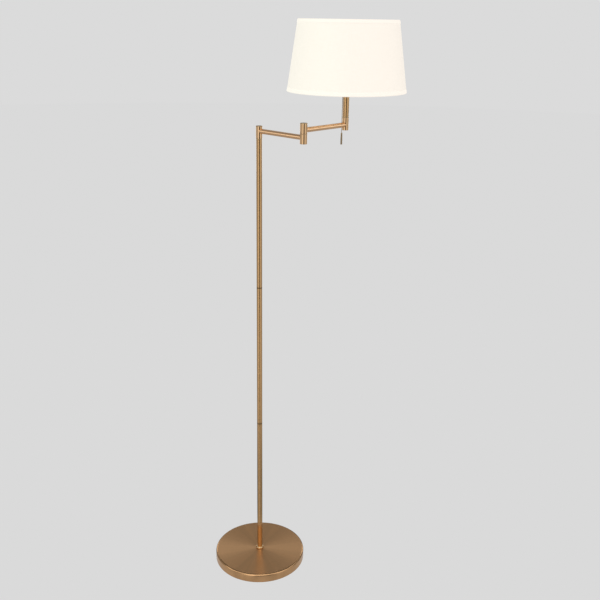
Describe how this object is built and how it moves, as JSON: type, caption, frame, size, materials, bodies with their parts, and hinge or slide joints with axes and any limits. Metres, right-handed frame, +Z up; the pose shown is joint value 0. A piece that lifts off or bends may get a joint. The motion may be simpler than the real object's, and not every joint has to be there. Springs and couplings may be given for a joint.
{
  "type": "floor lamp",
  "caption": "Swing-arm floor lamp: weighted round base, slim brass pole, two folding arms, conical fabric shade on a swivel stem with a pull-cord switch.",
  "frame": {"origin": "centre of the base's underside, on the pole's axis", "axes": "+Z up along the pole; +Y towards the rear of the base, where the cord inlet is; +X to the right seen from the front"},
  "size_m": [0.5017, 0.301, 1.5485],
  "materials": {
    "base_brass": "antique brass plating, brushed in rings on the lathe, clear lacquer",
    "pole_brass": "antique brass, satin, brushed round",
    "arm_brass": "antique brass, polished to a soft mirror along the tube",
    "hub_brass": "antique brass, turned and polished",
    "cap_brass": "brass, bright polished",
    "holder_brass": "antique brass, satin",
    "turned_brass": "bare turned brass",
    "pull_brass": "aged brass, dull",
    "cast_iron": "rough casting, black dipped",
    "zinc_steel": "zinc plated",
    "black_steel": "black oxide",
    "bulb_metal": "rolled bright metal",
    "nylon": "black nylon",
    "rubber": "moulded black rubber",
    "felt": "pressed dark felt",
    "terminal_plastic": "moulded natural plastic",
    "ceramic": "white steatite",
    "flex_pvc": "white sheath",
    "bulb_glass": "opal glass, lit",
    "pull_cord": "braided, bronze brown",
    "shade_fabric": "plain woven cotton, warm white, lit from inside",
    "shade_liner": "white translucent liner sheet",
    "shade_tape": "woven edge tape, warm white",
    "shade_wire": "white dipped wire"
  },
  "bodies": {
    "base": {"base_cover": "base_brass", "base_weight": "cast_iron", "base_pad": "felt", "base_washer": "zinc_steel", "base_nut": "zinc_steel", "base_nipple": "zinc_steel", "inlet_bush": "rubber", "terminal_block": "terminal_plastic", "foot_ring": "cap_brass", "pole_foot_plug": "turned_brass", "pole_lower": "pole_brass", "pole_middle": "pole_brass", "pole_upper": "pole_brass", "pole_lower_joiner": "turned_brass", "pole_upper_joiner": "turned_brass", "shoulder_post": "turned_brass", "shoulder_washer": "nylon", "shoulder_ring_nut": "turned_brass", "pole_flex": "flex_pvc"},
    "inner_arm": {"shoulder_hub": "hub_brass", "shoulder_stop_screw": "black_steel", "shoulder_cap": "hub_brass", "inner_arm_tube": "arm_brass", "elbow_lower_barrel": "hub_brass", "elbow_bottom_cap": "hub_brass", "elbow_pivot": "turned_brass", "elbow_stop_pin": "zinc_steel", "elbow_washer": "nylon", "elbow_ring_nut": "turned_brass", "inner_arm_flex": "flex_pvc"},
    "outer_arm": {"elbow_upper_barrel": "hub_brass", "elbow_top_cap": "cap_brass", "outer_arm_tube": "arm_brass", "end_hub": "hub_brass", "end_hub_stop_screw": "black_steel", "end_hub_cap": "hub_brass", "outer_arm_flex": "flex_pvc"},
    "shade_stem": {"stem_tube": "pole_brass", "holder_cup": "holder_brass", "holder_skirt": "holder_brass", "pull_guide": "holder_brass", "shade_ring_lower": "holder_brass", "shade_ring_upper": "holder_brass", "stem_post": "turned_brass", "stem_ring_nut": "turned_brass", "holder_nipple": "turned_brass", "holder_screw_shell": "turned_brass", "holder_contact": "turned_brass", "bulb_cap": "bulb_metal", "stem_washer": "nylon", "holder_core": "ceramic", "stem_flex": "flex_pvc", "bulb_glass": "bulb_glass", "shade_fabric": "shade_fabric", "shade_liner": "shade_liner", "shade_edge_tapes": "shade_tape", "shade_top_wire": "shade_wire", "shade_spider": "shade_wire"},
    "pull": {"pull_weight": "pull_brass", "pull_cord": "pull_cord"}
  },
  "joints": [
    {"name": "shoulder_swing", "type": "hinge", "parent": "base", "child": "inner_arm", "pos_m": [0, 0, 1.262], "axis": [0, 0, 1], "range_deg": [-160, 160]},
    {"name": "elbow_swing", "type": "hinge", "parent": "inner_arm", "child": "outer_arm", "pos_m": [0.11314, -0.11314, 1.286], "axis": [0, 0, 1], "range_deg": [-253.5, 66.5]},
    {"name": "stem_swivel", "type": "hinge", "parent": "outer_arm", "child": "shade_stem", "pos_m": [0.21916, 0.0067, 1.308], "axis": [0, 0, 1], "range_deg": [-170, 85]},
    {"name": "pull_switch", "type": "slide", "parent": "shade_stem", "child": "pull", "axis": [0, 0, -1], "range_m": [0, 0.008], "stiffness_N_per_m": 300, "springref_m": -0.003}
  ]
}
